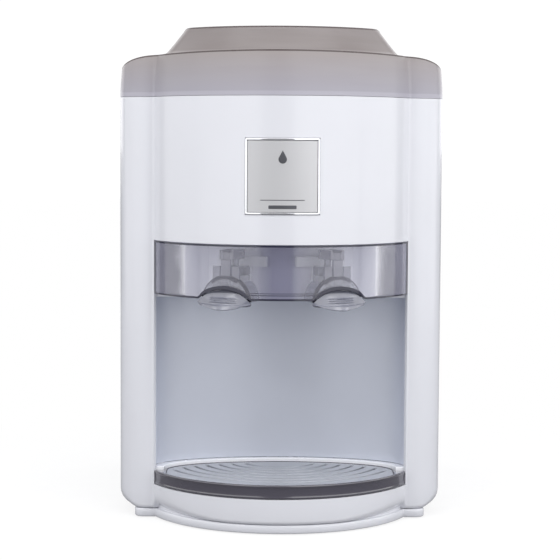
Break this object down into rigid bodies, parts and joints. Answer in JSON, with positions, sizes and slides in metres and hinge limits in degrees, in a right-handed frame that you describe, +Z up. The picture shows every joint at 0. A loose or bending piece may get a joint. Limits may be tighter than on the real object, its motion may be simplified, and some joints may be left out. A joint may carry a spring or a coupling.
{
  "type": "countertop water dispenser",
  "caption": "Countertop water dispenser with a smoked lid, curved white front, lever taps behind a visor, curved niche, drip tray, filters and a cooled tank.",
  "frame": {"origin": "centre of the footprint's bounding box, on the worktop under the feet", "axes": "+Z up, -Y out of the front where the taps are, +X to the right as seen from the front"},
  "size_m": [0.29, 0.375, 0.438],
  "materials": {
    "white_shell": "glossy moulded ABS",
    "liner": "satin silver-grey paint",
    "smoke": "glossy smoked translucent",
    "smoke_lid": "satin smoked translucent",
    "clear": "clear moulded",
    "grille": "satin grey",
    "badge": "satin silver",
    "chrome": "mirror",
    "steel": "brushed",
    "aluminium": "extruded",
    "black_plastic": "textured black",
    "rubber": "soft",
    "silicone": "translucent white",
    "foam": "expanded beads",
    "filter": "moulded",
    "board": "solder resist",
    "ceramic": "fired ceramic",
    "hose": "translucent tubing"
  },
  "bodies": {
    "cabinet": {"front_housing": "white_shell", "left_side_panel": "white_shell", "right_side_panel": "white_shell", "rear_panel": "white_shell", "rear_screw_left": "steel", "rear_screw_right": "steel", "base_plate": "white_shell", "top_deck": "white_shell", "badge_plate": "badge", "badge_frame": "chrome", "niche_liner": "liner", "niche_floor": "white_shell", "tap_panel": "liner", "visor": "smoke", "filter_manifold": "black_plastic", "cold_tank": "steel", "tank_insulation": "foam", "insulation_lid": "foam", "tank_stand": "black_plastic", "cold_block": "aluminium", "peltier_module": "ceramic", "heat_sink": "aluminium", "fan_frame": "black_plastic", "power_board": "board", "switch_housing": "black_plastic", "cord_gland": "black_plastic", "inlet_fitting": "white_shell", "pressure_regulator": "white_shell", "drain_fitting": "white_shell", "inlet_hose": "hose", "feed_hose": "hose", "ambient_hose": "hose", "cold_hose": "hose", "foot_front_left": "rubber", "foot_rear_left": "rubber", "tap_body_left": "white_shell", "tap_bonnet_left": "clear", "tap_spring_left": "steel", "foot_front_right": "rubber", "foot_rear_right": "rubber", "tap_body_right": "white_shell", "tap_bonnet_right": "clear", "tap_spring_right": "steel"},
    "lid": {"lid": "smoke_lid"},
    "drip_tray": {"drip_tray": "smoke"},
    "drip_grille": {"drip_grille": "grille"},
    "sediment_cartridge": {"sediment_cartridge": "filter"},
    "carbon_cartridge": {"carbon_cartridge": "filter"},
    "fan_rotor": {"fan_rotor": "black_plastic"},
    "switch_rocker": {"switch_rocker": "black_plastic"},
    "drain_plug": {"drain_plug": "silicone"},
    "valve_left": {"tap_stem_left": "clear", "tap_seal_left": "silicone", "lever_pin_left": "steel"},
    "lever_left": {"tap_lever_left": "clear"},
    "valve_right": {"tap_stem_right": "clear", "tap_seal_right": "silicone", "lever_pin_right": "steel"},
    "lever_right": {"tap_lever_right": "clear"}
  },
  "joints": [
    {"name": "lid_lift", "type": "slide", "parent": "cabinet", "child": "lid", "axis": [0, 0, 1], "range_m": [0, 0.06]},
    {"name": "tray_pull", "type": "slide", "parent": "cabinet", "child": "drip_tray", "axis": [0, -1, 0], "range_m": [0, 0.12]},
    {"name": "grille_lift", "type": "slide", "parent": "drip_tray", "child": "drip_grille", "axis": [0, 0, 1], "range_m": [0, 0.03]},
    {"name": "sediment_turn", "type": "hinge", "parent": "cabinet", "child": "sediment_cartridge", "pos_m": [0.085, 0.058, 0.2], "axis": [0, 0, 1], "range_deg": [0, 90]},
    {"name": "carbon_turn", "type": "hinge", "parent": "cabinet", "child": "carbon_cartridge", "pos_m": [0.085, -0.006, 0.2], "axis": [0, 0, 1], "range_deg": [0, 90]},
    {"name": "fan_spin", "type": "hinge", "parent": "cabinet", "child": "fan_rotor", "pos_m": [-0.045, 0.155, 0.17], "axis": [0, 1, 0], "continuous": true},
    {"name": "switch_rock", "type": "hinge", "parent": "cabinet", "child": "switch_rocker", "pos_m": [0.096, 0.1745, 0.128], "axis": [1, 0, 0], "range_deg": [0, 16]},
    {"name": "drain_pull", "type": "slide", "parent": "cabinet", "child": "drain_plug", "axis": [0, 1, 0], "range_m": [0, 0.02]},
    {"name": "valve_left_lift", "type": "slide", "parent": "cabinet", "child": "valve_left", "axis": [0, 0, 1], "range_m": [0, 0.0017], "deforming": ["tap_spring_left"]},
    {"name": "lever_left_press", "type": "hinge", "parent": "valve_left", "child": "lever_left", "pos_m": [-0.03998, -0.15117, 0.241], "axis": [0.913, -0.408, 0], "range_deg": [0, 8], "stiffness_Nm_per_rad": 0.6, "springref_deg": -8.59},
    {"name": "valve_right_lift", "type": "slide", "parent": "cabinet", "child": "valve_right", "axis": [0, 0, 1], "range_m": [0, 0.0017], "deforming": ["tap_spring_right"]},
    {"name": "lever_right_press", "type": "hinge", "parent": "valve_right", "child": "lever_right", "pos_m": [0.03998, -0.15117, 0.241], "axis": [0.913, 0.408, 0], "range_deg": [0, 8], "stiffness_Nm_per_rad": 0.6, "springref_deg": -8.59}
  ],
  "couplings": [
    {"joint": "valve_left_lift", "follows": "lever_left_press", "m_per_rad": 0.012},
    {"joint": "valve_right_lift", "follows": "lever_right_press", "m_per_rad": 0.012}
  ]
}
